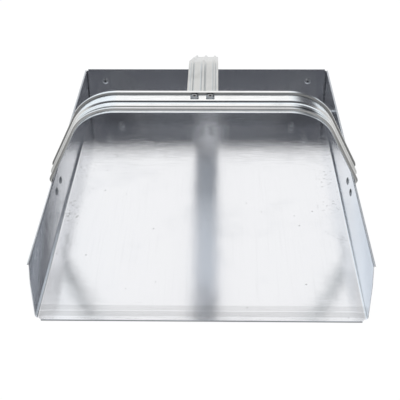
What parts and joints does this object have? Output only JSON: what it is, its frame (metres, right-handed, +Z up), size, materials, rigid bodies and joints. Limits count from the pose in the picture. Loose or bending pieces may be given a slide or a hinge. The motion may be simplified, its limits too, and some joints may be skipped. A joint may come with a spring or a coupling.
{
  "type": "handheld dustpan",
  "caption": "Open scoop of folded galvanised sheet with hemmed side walls, a folded lip and a riveted handle of ribbed steel strip: an upright hoop and a strap down to the back wall.",
  "frame": {"origin": "middle of the floor's underside: half way between the side walls and half way between the side walls' front edge and the back wall's inner face", "axes": "+X to the right as seen from the open front, +Y from the lip to the back wall, +Z up"},
  "size_m": [0.3096, 0.4086, 0.1583],
  "materials": {
    "galvanised_sheet": "bright galvanised sheet, mirror-like with smudges and fine scratches",
    "handle_strip": "bright galvanised strip with rolled ribs",
    "rivet_aluminium": "plain bright aluminium",
    "mandrel_steel": "dark broken steel wire"
  },
  "bodies": {
    "root": {"pan_shell": "galvanised_sheet", "handle_hoop": "handle_strip", "grip_strap": "handle_strip", "rivet_leg_left_front": "rivet_aluminium", "rivet_leg_left_rear": "rivet_aluminium", "rivet_grip_left": "rivet_aluminium", "rivet_tail_left": "rivet_aluminium", "rivet_corner_left_upper": "rivet_aluminium", "rivet_corner_left_lower": "rivet_aluminium", "rivet_leg_right_front": "rivet_aluminium", "rivet_leg_right_rear": "rivet_aluminium", "rivet_grip_right": "rivet_aluminium", "rivet_tail_right": "rivet_aluminium", "rivet_corner_right_upper": "rivet_aluminium", "rivet_corner_right_lower": "rivet_aluminium", "mandrel_leg_left_front": "mandrel_steel", "mandrel_leg_left_rear": "mandrel_steel", "mandrel_grip_left": "mandrel_steel", "mandrel_tail_left": "mandrel_steel", "mandrel_corner_left_upper": "mandrel_steel", "mandrel_corner_left_lower": "mandrel_steel", "mandrel_leg_right_front": "mandrel_steel", "mandrel_leg_right_rear": "mandrel_steel", "mandrel_grip_right": "mandrel_steel", "mandrel_tail_right": "mandrel_steel", "mandrel_corner_right_upper": "mandrel_steel", "mandrel_corner_right_lower": "mandrel_steel"}
  },
  "joints": []
}
